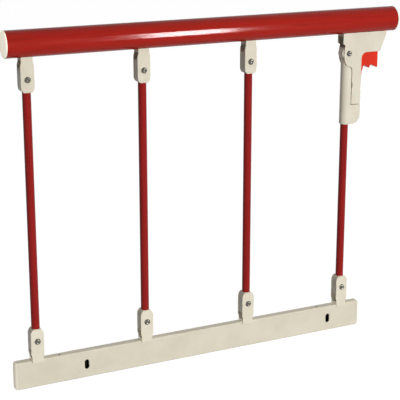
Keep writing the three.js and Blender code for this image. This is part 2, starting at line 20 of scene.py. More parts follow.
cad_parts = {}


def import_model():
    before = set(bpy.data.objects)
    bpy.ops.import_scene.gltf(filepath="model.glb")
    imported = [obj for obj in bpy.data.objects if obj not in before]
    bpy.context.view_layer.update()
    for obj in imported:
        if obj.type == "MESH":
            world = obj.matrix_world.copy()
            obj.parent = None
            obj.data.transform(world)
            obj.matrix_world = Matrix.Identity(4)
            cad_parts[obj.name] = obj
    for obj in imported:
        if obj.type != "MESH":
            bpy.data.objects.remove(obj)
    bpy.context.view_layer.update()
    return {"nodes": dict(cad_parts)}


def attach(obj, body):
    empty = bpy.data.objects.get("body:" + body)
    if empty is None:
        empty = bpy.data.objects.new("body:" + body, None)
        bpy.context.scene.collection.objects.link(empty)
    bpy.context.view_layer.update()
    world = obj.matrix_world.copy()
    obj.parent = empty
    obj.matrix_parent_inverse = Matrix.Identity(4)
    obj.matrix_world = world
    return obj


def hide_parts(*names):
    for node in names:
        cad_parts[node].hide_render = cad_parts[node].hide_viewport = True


log = logging.getLogger("guard_rail")
MM = 0.001  # metres in a millimetre
SAME_POINT = 0.01  # mm between points that count as one
WELD = 0.002  # mm between vertices that are merged after a boolean
RIM_STRIPS = 3  # rows of faces in a rounded rim
ROUND_PROFILE = 0.5  # bevel profile of a circular rounding
RIM_ANGLE = math.radians(30)  # least bend of an edge that softened() rounds
SHARP_ANGLE = math.radians(38)  # least bend of an edge that is shaded sharp or bevelled
Colour = tuple[float, float, float]
Point = tuple[float, float, float]
Pair = tuple[float, float]


def turn(degrees: float, axis: str) -> Matrix:
    """A turn about an axis, given by its letter."""
    return Matrix.Rotation(math.radians(degrees), 4, axis)


def shift(x: float, y: float, z: float) -> Matrix:
    """A move along the three axes."""
    return Matrix.Translation((x, y, z))


def linked(name: str, data: bpy.types.ID) -> bpy.types.Object:
    """A new object of the scene, for a mesh, a lamp or a camera."""
    obj = bpy.data.objects.new(name, data)
    bpy.context.scene.collection.objects.link(obj)
    return obj


class Slot(Enum):
    """The record's material slots."""

    CREAM_COATING = "cream_coating"
    CREAM_PLASTIC = "cream_plastic"
    RED_WOOD_GRAIN = "red_wood_grain"
    RED_PLASTIC = "red_plastic"
    SATIN_STEEL = "satin_steel"
    SPRING_STEEL = "spring_steel"


class Axis(Enum):
    """A direction that a rod, a turned piece or a grain runs in."""

    X = (1.0, 0.0, 0.0)
    Y = (0.0, 1.0, 0.0)
    Z = (0.0, 0.0, 1.0)

    def from_z(self) -> Matrix:
        """The turn that brings +Z onto this axis."""
        return Vector((0, 0, 1)).rotation_difference(Vector(self.value)).to_matrix().to_4x4()


class Side(Enum):
    """The two ends of a rail, by the way that the end faces along X."""

    LEFT = -1
    RIGHT = 1


class Facets(IntEnum):
    """How many sides a round shape gets, by what it is."""

    SCREW = 24
    PIN = 32
    RIVET = 48
    POST = 64
    RAIL = 96


@dataclass(frozen=True)
class Layout:
    """Sizes that several sub-assemblies share."""

    post_count: int = 4
    post_spacing: float = 152.0
    pivot_rise: float = 342.0
    stand_off: float = 26.6
    rail_height: float = 37.4
    clearance: float = 0.3
    seat: float = 0.1
    post_radius: float = 5.5
    ear_thickness: float = 1.8
    top_radius: float = 17.1
    web_thickness: float = 3.0
    screw_hole: float = 2.3
    housing_end: float = 100.0
    socket_depth: float = 24.0
    overrun: float = 2.0

    @property
    def post_places(self) -> list[float]:
        """X of each post."""
        first = -self.post_spacing * (self.post_count - 1) / 2
        return [first + i * self.post_spacing for i in range(self.post_count)]

    @property
    def ear_gap(self) -> float:
        """Clear width between the two ears of a bracket."""
        return 2 * (self.post_radius + self.clearance)

    @property
    def bracket_depth(self) -> float:
        """Outside width of a bracket, front to back."""
        return self.ear_gap + 2 * self.ear_thickness

    @property
    def rail_depth(self) -> float:
        """Depth of the bottom rail, front to back."""
        return self.ear_gap - 2 * self.seat

    @property
    def lower_pivot(self) -> float:
        """Height of the lower pivots."""
        return self.rail_height + self.stand_off

    @property
    def upper_pivot(self) -> float:
        """Height of the upper pivots."""
        return self.lower_pivot + self.pivot_rise

    @property
    def tube_drop(self) -> float:
        """Upper pivot to the top tube's axis."""
        return self.stand_off + self.top_radius

    @property
    def top_axis(self) -> float:
        """Height of the top tube's axis."""
        return self.upper_pivot + self.tube_drop

    @property
    def bracket_top(self) -> float:
        """Upper pivot to the top of what a bracket is cut from, inside the top tube's outline."""
        return self.stand_off + self.top_radius / 2

    def place(self) -> Matrix:
        """The move from the drawing frame to the row frame, whose origin is on the rail's back."""
        return Matrix.Scale(MM, 4) @ shift(0, -self.rail_depth / 2, -self.rail_height / 2)


class Outline:
    """A closed outline in X and Z, drawn point by point."""

    def __init__(self, *points: Pair) -> None:
        """Starts the outline with straight lines through some points."""
        self.points: list[Pair] = list(points)

    @classmethod
    def rounded(cls, x: float, z: float, run: float, rise: float, steps: int = 12) -> Outline:
        """A rectangle about the origin with elliptical corners.

        Args:
            x: Half width.
            z: Half height.
            run: Width of a corner.
            rise: Height of a corner.
            steps: Number of chords in a corner.

        Returns:
            The outline.
        """
        outline = cls((x, rise - z))
        for start, (right, up) in zip((0, 90, 180, 270), ((1, 1), (-1, 1), (-1, -1), (1, -1))):
            outline.arc(right * (x - run), up * (z - rise), run, rise, start, start + 90, steps)
        return outline

    def line(self, *points: Pair) -> Outline:
        """Draws straight lines on through some points."""
        self.points += points
        return self

    def arc(self, x: float, z: float, rx: float, rz: float, start: float, end: float,
            steps: int = 12) -> Outline:
        """Draws part of an ellipse.

        Args:
            x: Centre along the rails.
            z: Centre upwards.
            rx: Half width.
            rz: Half height.
            start: First angle in degrees, from +X towards +Z.
            end: Last angle in degrees.
            steps: Number of chords.

        Returns:
            The outline itself.
        """
        for i in range(steps + 1):
            a = math.radians(start + (end - start) * i / steps)
            self.points.append((x + rx * math.cos(a), z + rz * math.sin(a)))
        return self

    def bend(self, *controls: Pair, steps: int = 10) -> Outline:
        """Draws a Bezier curve from the last point.

        Args:
            controls: Its control points, the last of which it reaches.
            steps: Number of chords.

        Returns:
            The outline itself.
        """
        hull = [Vector(self.points[-1]), *(Vector(c) for c in controls)]
        for i in range(1, steps + 1):
            row = list(hull)
            while len(row) > 1:
                row = [a.lerp(b, i / steps) for a, b in zip(row, row[1:])]
            self.points.append(tuple(row[0]))
        return self

    def clean(self) -> list[Pair]:
        """The points in order, without doubles.

        Returns:
            The points, with the last not repeating the first.
        """
        kept: list[Pair] = []
        for p in self.points:
            if not kept or math.dist(p, kept[-1]) > SAME_POINT:
                kept.append(p)
        if math.dist(kept[0], kept[-1]) <= SAME_POINT:
            kept.pop()
        return kept


class Solid:
    """A closed mesh in the drawing frame that can be joined, cut and rounded."""

    def __init__(self, bm: bmesh.types.BMesh) -> None:
        """Takes over a mesh and turns its faces outwards."""
        bmesh.ops.recalc_face_normals(bm, faces=bm.faces)
        self.bm = bm

    @classmethod
    def skinned(cls, rings: Sequence[Sequence[Point]], looped: bool = False) -> Solid:
        """A skin over rings of points, each joined to the next.

        Args:
            rings: The rings, as long as each other. One point alone is a pole.
            looped: Whether the last ring joins the first, or else both are closed.

        Returns:
            The solid.
        """
        bm = bmesh.new()
        loops = [[bm.verts.new(corner) for corner in ring] for ring in rings]
        for a, b in zip(loops, loops[1:] + loops[:int(looped)]):
            for i in range(max(len(a), len(b))):
                j = i + 1
                corners = [a[i % len(a)], a[j % len(a)], b[j % len(b)], b[i % len(b)]]
                bm.faces.new(list(dict.fromkeys(corners)))
        for end in (loops[0][::-1], loops[-1]):
            if len(end) > 1 and not looped:
                bm.faces.new(end)
        return cls(bm)

    @classmethod
    def plate(cls, outline: Outline, thickness: float, middle: float = 0.0,
              rounding: float = 0.0) -> Solid:
        """A plate of even thickness that faces along Y.

        Args:
            outline: Its outline in X and Z.
            thickness: Its thickness along Y.
            middle: Y of its middle.
            rounding: Radius of its rim edges.

        Returns:
            The plate.
        """
        bm = bmesh.new()
        points = outline.clean()
        front = [bm.verts.new((x, middle - thickness / 2, z)) for x, z in points]
        back = [bm.verts.new((x, middle + thickness / 2, z)) for x, z in points]
        caps = [bm.faces.new(front), bm.faces.new(back[::-1])]
        for i in range(len(points)):
            j = (i + 1) % len(points)
            bm.faces.new((front[i], back[i], back[j], front[j]))
        made = cls(bm)
        if rounding:
            cls._round(bm, list(dict.fromkeys(e for cap in caps for e in cap.edges)), rounding)
        return made

    @classmethod
    def block(cls, low: Point, high: Point) -> Solid:
        """A box given by its lowest and highest corners."""
        (x0, y0, z0), (x1, y1, z1) = low, high
        outline = Outline((x0, z0), (x1, z0), (x1, z1), (x0, z1))
        return cls.plate(outline, y1 - y0, (y0 + y1) / 2)

    @classmethod
    def turned(cls, profile: Sequence[Pair], axis: Axis, sides: Facets,
               at: Point = (0, 0, 0)) -> Solid:
        """A profile turned about an axis.

        Args:
            profile: [radius, height] pairs. It closes on the axis, or on itself for a tube.
            axis: The axis that it stands on.
            sides: How many sides it gets.
            at: The point of height zero.

        Returns:
            The turned solid.
        """
        angles = [2 * math.pi * i / sides for i in range(sides)]
        rings = [[(r * math.cos(a), r * math.sin(a), height) for a in (angles if r else [0])]
                 for r, height in profile]
        made = cls.skinned(rings, looped=profile[0][0] > 0)
        return made.moved(shift(*at) @ axis.from_z())

    @classmethod
    def rod(cls, axis: Axis, radius: float, length: float, centre: Point, sides: Facets) -> Solid:
        """A round rod along an axis, centred on a point."""
        profile = [(0, -length / 2), (radius, -length / 2), (radius, length / 2), (0, length / 2)]
        return cls.turned(profile, axis, sides, centre)

    @staticmethod
    def _round(bm: bmesh.types.BMesh, edges: list[bmesh.types.BMEdge], radius: float) -> None:
        """Rounds some edges of a mesh in place."""
        bmesh.ops.bevel(bm, geom=edges, offset=radius, segments=RIM_STRIPS,
                        profile=ROUND_PROFILE, affect="EDGES", clamp_overlap=True)

    def _work_object(self) -> bpy.types.Object:
        """A scratch object that holds this mesh."""
        mesh = bpy.data.meshes.new("work")
        self.bm.to_mesh(mesh)
        return linked("work", mesh)

    def _combined(self, others: Iterable[Solid], operation: str) -> Solid:
        """This solid joined with or cut by others.

        Args:
            others: The other solids.
            operation: UNION, DIFFERENCE or INTERSECT.

        Returns:
            A new solid.
        """
        base = self._work_object()
        tools = [other._work_object() for other in others]
        for tool in tools:
            step = base.modifiers.new("combine", "BOOLEAN")
            step.operation = operation
            step.solver = "EXACT"
            step.object = tool
        graph = bpy.context.evaluated_depsgraph_get()
        mesh = bpy.data.meshes.new_from_object(base.evaluated_get(graph))
        bm = bmesh.new()
        bm.from_mesh(mesh)
        for obj in (base, *tools):
            bpy.data.objects.remove(obj)
        bpy.data.meshes.remove(mesh)
        bmesh.ops.remove_doubles(bm, verts=bm.verts, dist=WELD)
        bmesh.ops.dissolve_degenerate(bm, edges=bm.edges, dist=WELD)
        return Solid(bm)

    def softened(self, radius: float, near: Callable[[Vector], bool]) -> Solid:
        """This solid with some of its sharp edges rounded.

        Args:
            radius: The rounding.
            near: Says of a point whether the edges there are rounded.

        Returns:
            A new solid.
        """
        bm = self.bm.copy()
        sharp = [e for e in bm.edges if e.calc_face_angle(0.0) > RIM_ANGLE]
        self._round(bm, [e for e in sharp if all(near(v.co) for v in e.verts)], radius)
        return Solid(bm)

    def join(self, *others: Solid) -> Solid:
        """This solid joined with others."""
        return self._combined(others, "UNION")

    def cut(self, *others: Solid) -> Solid:
        """This solid with others cut away."""
        return self._combined(others, "DIFFERENCE")

    def common(self, other: Solid) -> Solid:
        """What this solid has in common with another."""
        return self._combined([other], "INTERSECT")

    def moved(self, matrix: Matrix) -> Solid:
        """A copy of this solid, moved."""
        bm = self.bm.copy()
        bm.transform(matrix)
        return Solid(bm)


class NodeBench:
    """The node tree of a material or world, with short ways to fill it."""

    def __init__(self, owner: bpy.types.Material | bpy.types.World) -> None:
        """Switches on the owner's nodes."""
        owner.use_nodes = True
        self.tree = owner.node_tree

    def fill(self, node: bpy.types.Node, **values: object) -> bpy.types.Node:
        """Sets a node's sockets.

        Args:
            node: The node.
            values: Socket values, with _ for a space in the socket's name.

        Returns:
            The same node.
        """
        for key, value in values.items():
            node.inputs[key.replace("_", " ")].default_value = value
        return node

    def add(self, kind: str, **values: object) -> bpy.types.Node:
        """Adds a node of a Blender type and sets its sockets."""
        return self.fill(self.tree.nodes.new(kind), **values)

    def link(self, *joints: tuple[bpy.types.Node, str | int, bpy.types.Node, str | int]) -> None:
        """Links outputs to inputs, each given as node, output, node and input."""
        for source, output, target, entry in joints:
            self.tree.links.new(source.outputs[output], target.inputs[entry])

    def noise(self, pattern: Pattern) -> bpy.types.Node:
        """Adds a noise in object coordinates.

        Args:
            pattern: Its sizes.

        Returns:
            The noise node.
        """
        place = self.add("ShaderNodeTexCoord")
        mapping = self.add("ShaderNodeMapping", Scale=pattern.stretch)
        noise = self.add("ShaderNodeTexNoise", Scale=pattern.scale, Detail=pattern.detail,
                         Roughness=pattern.rough)
        self.link((place, "Object", mapping, "Vector"), (mapping, "Vector", noise, "Vector"))
        return noise

    def seen(self) -> bpy.types.Node:
        """Adds nodes that tell what is seen, reflected or looked through from what only lights.

        Returns:
            A node whose first output is 1 where it is seen and 0 elsewhere.
        """
        path = self.add("ShaderNodeLightPath")
        source, output = path, "Is Camera Ray"
        for ray in ("Is Glossy Ray", "Is Transmission Ray"):
            either = self.add("ShaderNodeMath")
            either.operation = "MAXIMUM"
            self.link((source, output, either, 0), (path, ray, either, 1))
            source, output = either, 0
        return source


@dataclass(frozen=True)
class Pattern:
    """A noise: features per metre, octaves, weight of the finer octaves, scale along each axis."""

    scale: float
    detail: float
    rough: float = 0.5
    stretch: Point = (1.0, 1.0, 1.0)


@dataclass(frozen=True)
class Finish:
    """A surface whose colour, dark to light, and roughness follow a cloud, over a finer skin."""

    name: str
    colours: tuple[Colour, ...]
    slot: Slot
    stops: tuple[float, ...] = (0.35, 0.65)
    roughness: Pair = (0.4, 0.5)
    cloud: Pattern = Pattern(38.0, 4.0)
    cloud_range: Pair = (0.3, 0.7)
    skin: Pattern = Pattern(900.0, 2.0)
    skin_depth: float = 0.00004
    skin_strength: float = 0.35
    gloss: float = 0.5
    subsurface: float = 0.0
    subsurface_scale: float = 0.002
    metallic: float = 0.0

    @cached_property
    def material(self) -> bpy.types.Material:
        """Makes the material, once.

        Returns:
            The material.
        """
        made = bpy.data.materials.new(self.name)
        bench = NodeBench(made)
        shader = bench.fill(bench.tree.nodes["Principled BSDF"], Specular_IOR_Level=self.gloss,
                            Metallic=self.metallic, Subsurface_Weight=self.subsurface,
                            Subsurface_Scale=self.subsurface_scale)
        cloud, skin = bench.noise(self.cloud), bench.noise(self.skin)
        ramp = bench.add("ShaderNodeValToRGB")
        for place in self.stops[1:-1]:
            ramp.color_ramp.elements.new(place)
        for stop, place, colour in zip(ramp.color_ramp.elements, self.stops, self.colours):
            stop.position = place
            stop.color = (*colour, 1)
        (start, end), (low, high) = self.cloud_range, self.roughness
        spread = bench.add("ShaderNodeMapRange", From_Min=start, From_Max=end,
                           To_Min=low, To_Max=high)
        bump = bench.add("ShaderNodeBump", Distance=self.skin_depth, Strength=self.skin_strength)
        bench.link((cloud, "Fac", ramp, "Fac"), (ramp, "Color", shader, "Base Color"),
                   (cloud, "Fac", spread, "Value"), (spread, "Result", shader, "Roughness"),
                   (skin, "Fac", bump, "Height"), (bump, "Normal", shader, "Normal"))
        return made


@dataclass(frozen=True)
class PowderCoat(Finish):
    """Satin powder coat with a fine orange peel."""

    slot: Slot = Slot.CREAM_COATING
    roughness: Pair = (0.40, 0.52)
    gloss: float = 0.42


@dataclass(frozen=True)
class MouldedPlastic(Finish):
    """Moulded plastic with faint flow clouds and a fine tooled grain."""

    slot: Slot = Slot.CREAM_PLASTIC
    roughness: Pair = (0.38, 0.5)
    cloud: Pattern = Pattern(60.0, 3.0, stretch=(1.0, 1.0, 0.4))
    skin: Pattern = Pattern(1500.0, 3.0)
    skin_depth: float = 0.00003
    skin_strength: float = 0.3


@dataclass(frozen=True)
class LacqueredGrain(Finish):
    """Red wood-grain print under clear lacquer. Its patterns are drawn out along the grain."""

    colours: tuple[Colour, ...] = ((0.33, 0.009, 0.003), (0.40, 0.011, 0.004), (0.43, 0.013, 0.005))
    slot: Slot = Slot.RED_WOOD_GRAIN
    stops: tuple[float, ...] = (0.30, 0.46, 0.72)
    roughness: Pair = (0.09, 0.12)
    cloud: Pattern = Pattern(260.0, 6.0, 0.62, (0.07, 1.0, 1.0))
    skin: Pattern = Pattern(900.0, 2.0, stretch=(0.03, 1.0, 1.0))
    skin_depth: float = 0.000004
    skin_strength: float = 0.08
    gloss: float = 0.12


@dataclass(frozen=True)
class PlatedSteel(Finish):
    """Zinc-plated or drawn steel with a satin surface."""

    colours: tuple[Colour, ...] = ((0.115, 0.11, 0.095), (0.155, 0.15, 0.13))
    slot: Slot = Slot.SATIN_STEEL
    stops: tuple[float, ...] = (0.3, 0.7)
    roughness: Pair = (0.30, 0.36)
    cloud: Pattern = Pattern(420.0, 4.0)
    skin: Pattern = Pattern(2400.0, 2.0)
    skin_depth: float = 0.00001
    skin_strength: float = 0.25
    metallic: float = 1.0


@dataclass(frozen=True)
class Finishes:
    """Every finish of the guard, by what it is used on."""

    coating: Finish = PowderCoat("cream_powder_coat", ((0.69, 0.64, 0.51), (0.74, 0.69, 0.56)))
    # Near-black painted shade for the walls of the bottom rail's bore, standing in for the darkness
    # inside the hollow tube.
    bore_shade: Finish = PowderCoat(
        "dark_primer", ((0.015, 0.013, 0.011), (0.022, 0.020, 0.017)), roughness=(0.7, 0.8))
    plastic: Finish = MouldedPlastic(
        "cream_moulded", ((0.69, 0.64, 0.52), (0.74, 0.69, 0.57)), subsurface=0.05)
    trigger: Finish = MouldedPlastic(
        "red_moulded", ((0.66, 0.027, 0.011), (0.73, 0.035, 0.013)), Slot.RED_PLASTIC,
        roughness=(0.28, 0.38), gloss=0.2, subsurface=0.04)
    rail_grain: Finish = LacqueredGrain("red_grain_rail")
    post_grain: Finish = LacqueredGrain(
        "red_grain_post", ((0.24, 0.010, 0.008), (0.30, 0.013, 0.011), (0.33, 0.015, 0.013)),
        roughness=(0.26, 0.34), cloud=Pattern(260.0, 6.0, 0.62, (1.0, 1.0, 0.07)),
        skin=Pattern(900.0, 2.0, stretch=(1.0, 1.0, 0.03)))
    steel: Finish = PlatedSteel("plated_steel")
    wire: Finish = PlatedSteel(
        "spring_wire", ((0.36, 0.36, 0.36), (0.5, 0.5, 0.5)), Slot.SPRING_STEEL)


@dataclass(frozen=True)
class Lining:
    """A second finish on some of a piece's faces."""

    finish: Finish
    covers: Callable[[Vector], bool]


@dataclass
class Workshop:
    """Makes pieces out of solids, dresses them and hands them to the frame."""

    layout: Layout
    finishes: Finishes
    edge_strips: int = 2
    made: dict[str, bpy.types.Object] = field(default_factory=dict)

    def piece(self, node: str, body: str, solid: Solid, finish: Finish,
              at: Point = (0, 0, 0), facing: Matrix = Matrix(), rounding: float = 0.0,
              lining: Lining | None = None) -> None:
        """Makes the piece that stands for a CAD node.

        Args:
            node: The CAD node that it replaces.
            body: The CAD body that it rides on.
            solid: Its shape.
            finish: Its finish, which also names the slot.
            at: Where the solid's origin goes, in the drawing frame.
            facing: A turn about the solid's own origin.
            rounding: Radius of all its sharp edges.
            lining: A second finish and the faces that it is on.
        """
        mesh = bpy.data.meshes.new(node + "_shape")
        solid.bm.to_mesh(mesh)
        obj = linked(node + "_look", mesh)
        if rounding:
            bevel = obj.modifiers.new("round", "BEVEL")
            bevel.width = rounding
            bevel.segments = self.edge_strips
            bevel.limit_method = "ANGLE"
            bevel.angle_limit = SHARP_ANGLE
            bevel.miter_outer = "MITER_ARC"
        for polygon in mesh.polygons:
            polygon.use_smooth = True
        mesh.set_sharp_from_angle(angle=SHARP_ANGLE)
        even = obj.modifiers.new("even", "WEIGHTED_NORMAL")
        even.keep_sharp = True
        graph = bpy.context.evaluated_depsgraph_get()
        finished = bpy.data.meshes.new_from_object(obj.evaluated_get(graph))
        obj.modifiers.clear()
        obj.data = finished
        bpy.data.meshes.remove(mesh)
        finished.name = node + "_shape"
        finished.materials.clear()
        finished.materials.append(finish.material)
        if lining:
            finished.materials.append(lining.finish.material)
            for polygon in finished.polygons:
                polygon.material_index = int(lining.covers(polygon.center))
        finished.transform(self.layout.place() @ shift(*at) @ facing)
        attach(obj, body)
        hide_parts(node)
        self.made[node] = obj
        log.info("%s: %d faces on %s", node, len(finished.polygons), body)


@dataclass
class BottomRail:
    """Flat hollow rail with its bolt slots, top holes and two end caps."""

    layout: Layout
    wall: float = 1.5
    corner: float = 1.8
    bore_corner: float = 0.6
    corner_steps: int = 8
    rounding: float = 0.25
    overhang: float = 26.6
    cap_thickness: float = 4.6
    cap_round: float = 3.6
    cap_steps: int = 8
    cap_plug: float = 12.0
    plug_lap: float = 1.0
    slot_width: float = 6.2
    slot_height: float = 13.6
    slot_insets: Pair = (66.4, 21.4)
    top_hole: float = 2.1
    top_hole_insets: Pair = (30.2, 37.8)
    lining_margin: float = 0.1

    @property
    def length(self) -> float:
        """Length of the tube without its caps."""
        return self.layout.post_places[-1] - self.layout.post_places[0] + 2 * self.overhang

    def _inset(self, insets: Pair) -> Pair:
        """X of two places, given from the first and the last post inwards."""
        return self.layout.post_places[0] + insets[0], self.layout.post_places[-1] - insets[1]

    def _section(self, inset: float, corner: float) -> Outline:
        """The rail's section, as an outline whose X is the rail's depth."""
        x = self.layout.rail_depth / 2 - inset
        z = self.layout.rail_height / 2 - inset
        return Outline.rounded(x, z, corner, corner, self.corner_steps)

    def _raised(self) -> Matrix:
        """The move up to the rail's middle height."""
        return shift(0, 0, self.layout.rail_height / 2)

    def _lengthwise(self, outline: Outline, half_length: float) -> Solid:
        """A section drawn out along X, at the rail's middle height."""
        return Solid.plate(outline, 2 * half_length).moved(self._raised() @ turn(90, "Z"))

    def tube(self) -> Solid:
        """The tube, with a slot in front of a hole for each bolt, and the holes in its top."""
        lay = self.layout
        half = self.length / 2
        front = -lay.rail_depth / 2
        middle = lay.rail_height / 2
        deep = 2 * self.wall + lay.overrun
        outer = self._lengthwise(self._section(0, self.corner), half)
        bore = self._lengthwise(self._section(self.wall, self.bore_corner), half + lay.overrun)
        r = self.slot_width / 2
        rise = self.slot_height / 2 - r
        slot = Outline((r, -rise)).arc(0, rise, r, r, 0, 180, steps=16)
        slot.arc(0, -rise, r, r, 180, 360, steps=16)
        bolts = self._inset(self.slot_insets)
        tools = [Solid.plate(slot, deep, front).moved(shift(x, 0, middle)) for x in bolts]
        tools += [Solid.rod(Axis.Y, r, deep, (x, -front, middle + rise), Facets.PIN) for x in bolts]
        holes = [(x, self.top_hole) for x in self._inset(self.top_hole_insets)]
        holes += [(x, lay.screw_hole) for x in lay.post_places]
        deep = 2 * (self.wall + lay.overrun)
        tools += [Solid.rod(Axis.Z, radius, deep, (x, 0, lay.rail_height), Facets.SCREW)
                  for x, radius in holes]
        return outer.cut(bore).cut(*tools)

    def is_inside(self, point: Vector) -> bool:
        """Whether a point of the tube lies on the wall of its bore, where the near-black painted
        shade goes.
        """
        across = self.layout.rail_depth / 2 - abs(point.y)
        up = self.layout.rail_height / 2 - abs(point.z - self.layout.rail_height / 2)
        return min(across, up) > self.wall - self.lining_margin

    def cap(self) -> Solid:
        """An end cap that faces +X, with its back at x = 0."""
        depth, height = self.layout.rail_depth / 2, self.layout.rail_height
        sections = [(0.0, self._section(0, self.corner))]
        for i in range(self.cap_steps + 1):
            a = math.radians(90 * i / self.cap_steps)
            inset = self.cap_round * (1 - math.cos(a))
            x = self.cap_thickness + self.cap_round * (math.sin(a) - 1)
            sections.append((x, self._section(inset, self.corner)))
        shell = Solid.skinned([[(x, y, z) for y, z in section.clean()] for x, section in sections])
        fit = self.wall + self.layout.clearance
        plug = Solid.block((-self.cap_plug, fit - depth, fit),
                           (self.plug_lap, depth - fit, height - fit))
        inner = fit + self.wall
        hollow = Solid.block((-self.cap_plug - self.layout.overrun, inner - depth, inner),
                             (0, depth - inner, height - inner))
        return shell.moved(self._raised()).join(plug.cut(hollow))

    def build(self, shop: Workshop) -> None:
        """Makes the rail and its caps.

        Args:
            shop: Where the pieces are made and dressed.
        """
        finishes = shop.finishes
        # The bore's walls are lined with the near-black painted shade.
        shop.piece("bottom_rail_tube", "bottom_rail", self.tube(), finishes.coating,
                   rounding=self.rounding, lining=Lining(finishes.bore_shade, self.is_inside))
        cap = self.cap()
        for side in Side:
            x = side.value * (self.length / 2 + self.layout.seat)
            facing = turn(180 if side is Side.LEFT else 0, "Z")
            shop.piece(f"bottom_rail_cap_{side.name.lower()}", "bottom_rail", cap, finishes.plastic,
                       (x, 0, 0), facing, self.rounding)


@dataclass
class TopRail:
    """Round hand rail with its two domed caps."""

    layout: Layout
    wall: float = 1.6
    left_overhang: float = 25.4
    right_overhang: float = 72.0
    end_round: float = 0.3
    cap_rim: float = 0.8
    cap_dome: float = 1.6
    dome_steps: int = 9
    dome_power: float = 0.55
    cap_plug: float = 14.0
    cap_wall: float = 2.0

    def tube(self, length: float) -> Solid:
        """The tube from its left end, with both ends slightly rounded."""
        outer, edge = self.layout.top_radius, self.end_round
        inner = outer - self.wall
        profile = [(inner, 0), (outer - edge, 0), (outer, edge), (outer, length - edge),
                   (outer - edge, length), (inner, length)]
        return Solid.turned(profile, Axis.X, Facets.RAIL)

    def cap(self) -> Solid:
        """A domed cap that faces +Z, with its back at height zero."""
        radius = self.layout.top_radius
        plug = radius - self.wall - self.layout.clearance
        bore, rim, rise = plug - self.cap_wall, self.cap_rim, self.cap_dome
        profile = [(0, 0), (bore, 0), (bore, -self.cap_plug), (plug, -self.cap_plug), (plug, 0),
                   (radius, 0)]
        for i in range(self.dome_steps):
            a = math.radians(90 * i / self.dome_steps)
            profile.append((radius * math.cos(a) ** self.dome_power, rim + rise * math.sin(a)))
        return Solid.turned([*profile, (0, rim + rise)], Axis.Z, Facets.RAIL)

    def build(self, shop: Workshop) -> None:
        """Makes the rail and its caps.

        Args:
            shop: Where the pieces are made and dressed.
        """
        lay = self.layout
        left = lay.post_places[0] - self.left_overhang
        right = lay.post_places[-1] + self.right_overhang
        shop.piece("top_rail_tube", "top_rail", self.tube(right - left), shop.finishes.rail_grain,
                   (left, 0, lay.top_axis))
        cap = self.cap()
        for side, x in ((Side.LEFT, left - lay.seat), (Side.RIGHT, right + lay.seat)):
            shop.piece(f"top_rail_cap_{side.name.lower()}", "top_rail", cap, shop.finishes.plastic,
                       (x, 0, lay.top_axis), turn(90 * side.value, "Y"))


@dataclass
class Ears:
    """What the brackets, their fittings and the latch share, with the pivot at the origin."""

    layout: Layout
    width: float = 17.6
    reach: float = 16.3
    corner_run: float = 5.0
    corner_rise: float = 7.8
    neck_width: float = 15.2
    neck_height: float = 5.0
    neck_taper: float = 4.0
    foot_lap: float = 3.4
    foot_sag: float = 0.8
    rounding: float = 0.8
    side_lap: float = 0.2
    pin_hole: float = 2.8
    screw_depth: float = 10.0

    def outline(self, foot: float) -> Outline:
        """An ear from the front, rounded end above.

        Args:
            foot: Pivot to the ear's lower end.

        Returns:
            The outline.
        """
        half = self.width / 2
        neck = self.neck_width / 2
        neck_top = self.neck_height - self.layout.stand_off
        x = half - self.corner_run
        z = self.reach - self.corner_rise
        outline = Outline((-neck, self.foot_sag - foot))
        outline.bend((0, -foot - self.foot_sag), (neck, self.foot_sag - foot), steps=12)
        outline.line((neck, neck_top), (half, neck_top + self.neck_taper))
        outline.arc(x, z, self.corner_run, self.corner_rise, 0, 90)
        outline.arc(-x, z, self.corner_run, self.corner_rise, 90, 180)
        return outline.line((-half, neck_top + self.neck_taper), (-neck, neck_top))

    def pair(self, outline: Outline, rounding: float) -> list[Solid]:
        """The same outline as a front ear and a back ear."""
        thickness = self.layout.ear_thickness
        middle = (self.layout.ear_gap + thickness) / 2
        return [Solid.plate(outline, thickness, y, rounding) for y in (-middle, middle)]

    def between(self, left: float, low: float, right: float, high: float) -> Solid:
        """A block between the ears that laps a little into both."""
        inside = self.layout.ear_gap / 2 + self.side_lap
        return Solid.block((left, -inside, low), (right, inside, high))

    def pin_bore(self) -> Solid:
        """The rivet's hole along Y."""
        length = self.layout.bracket_depth + 2 * self.layout.overrun
        return Solid.rod(Axis.Y, self.pin_hole, length, (0, 0, 0), Facets.PIN)

    def screw_bore(self, x: float, z: float) -> Solid:
        """A screw's hole along Z, centred on a point."""
        radius = self.layout.screw_hole
        return Solid.rod(Axis.Z, radius, self.screw_depth, (x, 0, z), Facets.SCREW)

    def tube_seat(self, x: float, length: float) -> Solid:
        """The space that the top tube takes up, with its clearance."""
        radius = self.layout.top_radius + self.layout.clearance
        return Solid.rod(Axis.X, radius, length, (x, 0, self.layout.tube_drop), Facets.RAIL)


